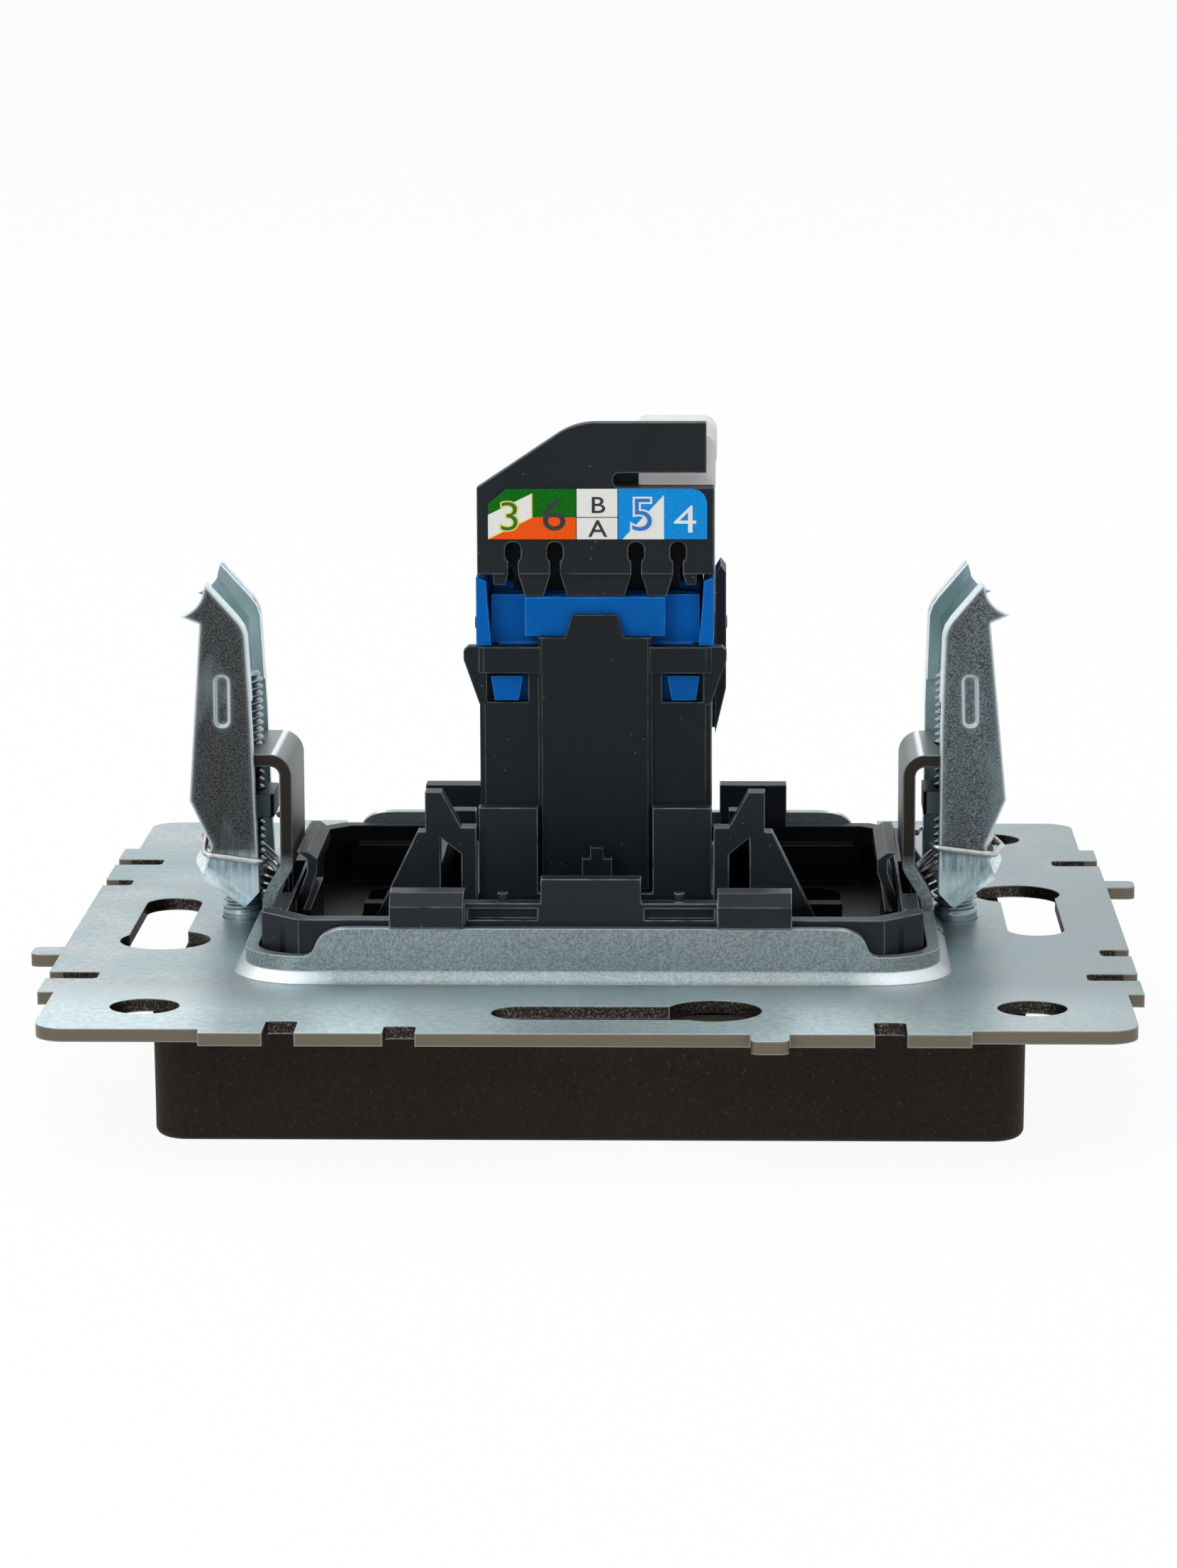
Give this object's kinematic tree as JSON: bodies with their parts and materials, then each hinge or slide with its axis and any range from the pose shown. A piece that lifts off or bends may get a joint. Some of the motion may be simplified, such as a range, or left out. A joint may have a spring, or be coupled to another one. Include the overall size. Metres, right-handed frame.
{
  "type": "ethernet wall socket",
  "caption": "Flush wall socket for one data outlet: steel mounting plate with screw-drawn claws, front cover, and a jack with terminals under a lift-off cap.",
  "frame": {"origin": "centre of the mounting plate, on the face that lies on the wall", "axes": "+Z points into the wall, X runs through the two fixing claws, the front cover faces -Z"},
  "size_m": [0.075, 0.075, 0.0438],
  "materials": {
    "cover_brown": "fine matt, dark brown",
    "zinc_steel": "bright zinc plated",
    "screw_steel": "zinc plated",
    "spring_steel": "drawn wire",
    "charcoal_plastic": "matt",
    "black_plastic": "satin",
    "blue_plastic": "satin",
    "clear_plastic": "frosted, see-through",
    "label_film": "printed film",
    "board_green": "lacquered board",
    "gold_contact": "thinly gilt",
    "tin_contact": "tinned bronze"
  },
  "bodies": {
    "socket": {"mounting_plate": "zinc_steel", "cover": "cover_brown", "carrier": "charcoal_plastic", "keystone_housing": "charcoal_plastic", "idc_body": "blue_plastic", "side_latch": "black_plastic", "circuit_board": "board_green", "jack_insert": "charcoal_plastic", "jack_contacts": "gold_contact", "idc_contacts_near": "tin_contact", "idc_contacts_far": "tin_contact"},
    "left_screw": {"claw_screw_left": "screw_steel"},
    "right_screw": {"claw_screw_right": "screw_steel"},
    "left_nut": {"claw_nut_left": "screw_steel"},
    "right_nut": {"claw_nut_right": "screw_steel"},
    "left_claw": {"claw_left": "zinc_steel", "return_spring_left": "spring_steel"},
    "right_claw": {"claw_right": "zinc_steel", "return_spring_right": "spring_steel"},
    "cap": {"wire_cap": "black_plastic", "wire_guide": "clear_plastic", "label_near": "label_film", "label_far": "label_film"}
  },
  "joints": [
    {"name": "left_screw_turn", "type": "hinge", "parent": "socket", "child": "left_screw", "pos_m": [-0.0244, 0, 0], "axis": [0, 0, 1], "range_deg": [0, 1980]},
    {"name": "left_nut_travel", "type": "slide", "parent": "socket", "child": "left_nut", "axis": [0, 0, -1], "range_m": [0, 0.00275]},
    {"name": "left_claw_swing", "type": "hinge", "parent": "socket", "child": "left_claw", "pos_m": [-0.0234, 0, 0.0017], "axis": [0, -1, 0], "range_deg": [0, 35]},
    {"name": "right_screw_turn", "type": "hinge", "parent": "socket", "child": "right_screw", "pos_m": [0.0244, 0, 0], "axis": [0, 0, 1], "range_deg": [0, 1980]},
    {"name": "right_nut_travel", "type": "slide", "parent": "socket", "child": "right_nut", "axis": [0, 0, -1], "range_m": [0, 0.00275]},
    {"name": "right_claw_swing", "type": "hinge", "parent": "socket", "child": "right_claw", "pos_m": [0.0233, -0.00006, 0.0017], "axis": [-0.0593, 0.9982, 0], "range_deg": [0, 35]},
    {"name": "wire_cap_lift", "type": "slide", "parent": "socket", "child": "cap", "axis": [0, 0, 1], "range_m": [0, 0.008]}
  ],
  "couplings": [
    {"joint": "left_nut_travel", "follows": "left_screw_turn", "m_per_rad": 0.000079577},
    {"joint": "left_claw_swing", "follows": "left_screw_turn", "ratio": 0.017677},
    {"joint": "right_nut_travel", "follows": "right_screw_turn", "m_per_rad": 0.000079577},
    {"joint": "right_claw_swing", "follows": "right_screw_turn", "ratio": 0.017677}
  ]
}
